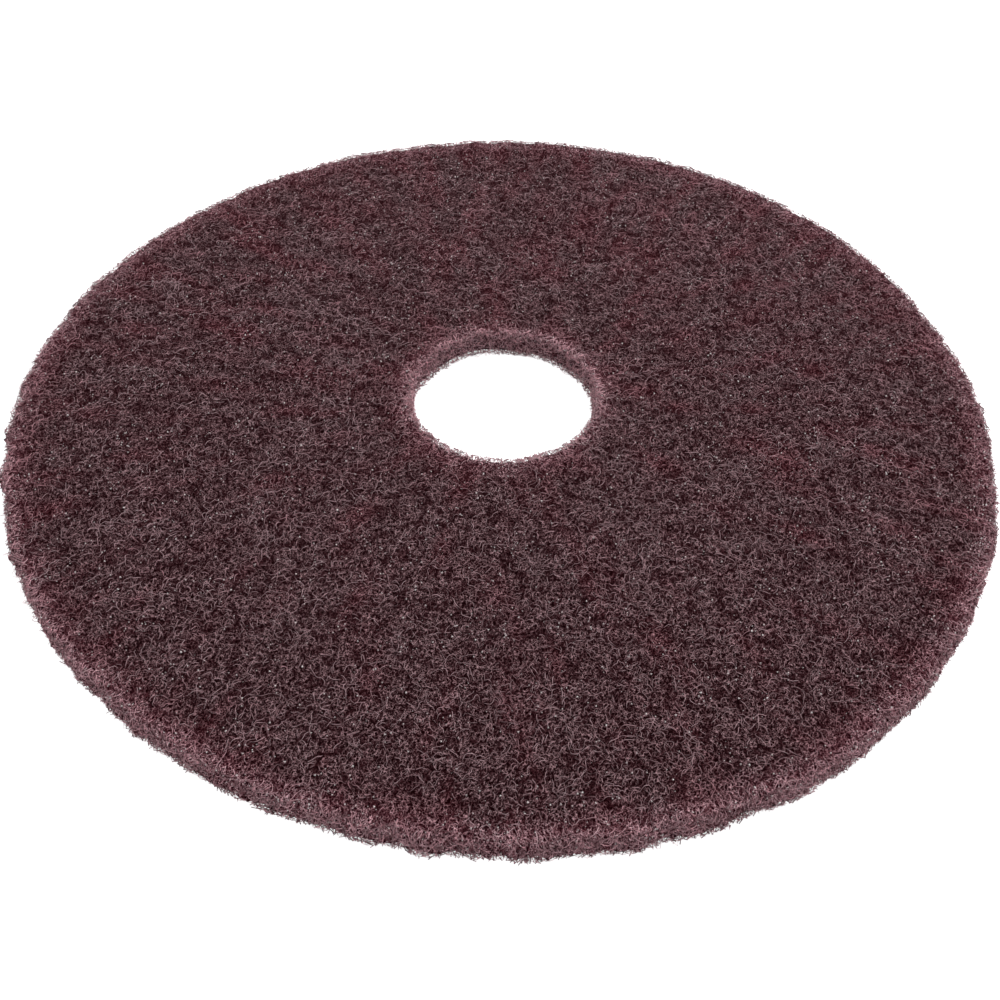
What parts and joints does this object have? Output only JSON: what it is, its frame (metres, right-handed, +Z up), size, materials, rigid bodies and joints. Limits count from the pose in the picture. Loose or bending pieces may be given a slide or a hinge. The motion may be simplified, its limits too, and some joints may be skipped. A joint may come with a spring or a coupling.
{
  "type": "floor polishing pad",
  "caption": "Round disc of dark maroon non-woven fibre web with a centre hole, for the driver of a rotary floor machine.",
  "frame": {"origin": "centre of the hole, on the floor that the pad lies on", "axes": "+Z up through the hole, from the floor face to the driver face; -Y towards the viewer of the picture"},
  "size_m": [0.4339, 0.4338, 0.013],
  "materials": {
    "fibre_web": "dull resin-bonded curly fibre, dark maroon"
  },
  "bodies": {
    "root": {"fibre_pad": "fibre_web"}
  },
  "joints": []
}
